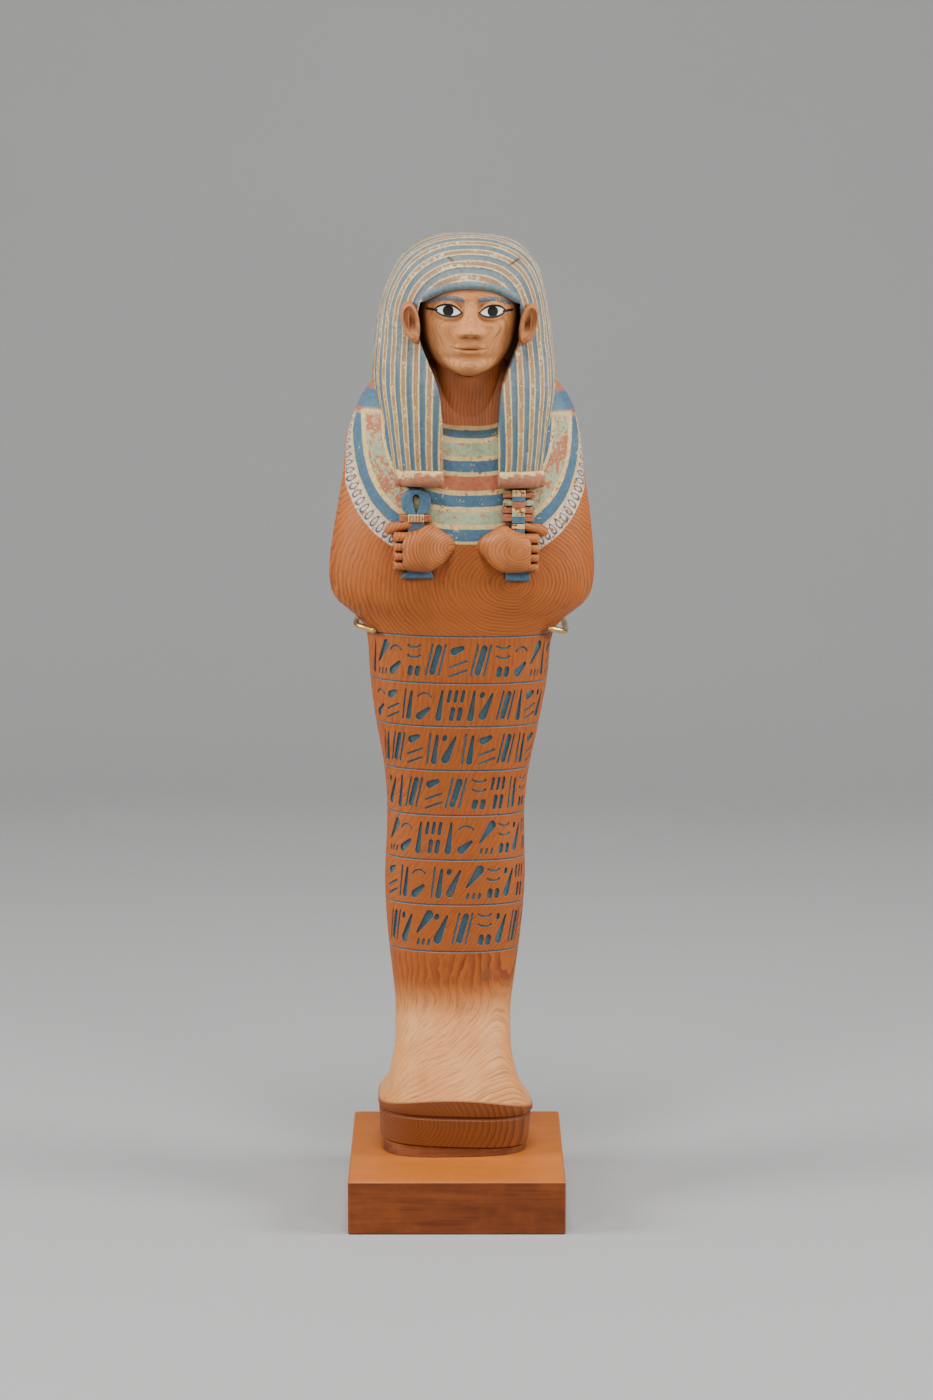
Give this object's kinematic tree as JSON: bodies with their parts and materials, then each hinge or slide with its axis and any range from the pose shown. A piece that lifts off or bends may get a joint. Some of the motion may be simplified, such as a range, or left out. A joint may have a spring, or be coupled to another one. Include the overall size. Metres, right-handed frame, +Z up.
{
  "type": "ushabti figurine on display stand",
  "caption": "Mummy-form painted wooden funerary figurine with crossed fists, striped wig and rows of signs, held upright on a wooden block by a brass cradle.",
  "frame": {"origin": "centre of the stand block's flat underside, where the whole group rests on a table or shelf", "axes": "+Z up from the table to the crown of the figure, -Y the way the figure faces, +X to the viewer's right when the figure is seen from the front"},
  "size_m": [0.0792, 0.082, 0.2889],
  "materials": {
    "figurine": "oiled conifer wood with worn matt paint in blue, cream, green and red-brown",
    "foot_shim": "dark stained wood, satin",
    "stand_block": "reddish hardwood, satin, straight grain",
    "brass_cradle": "polished round rod"
  },
  "bodies": {
    "root": {"figurine": "figurine", "foot_shim": "foot_shim", "stand_block": "stand_block", "brass_cradle": "brass_cradle"}
  },
  "joints": []
}
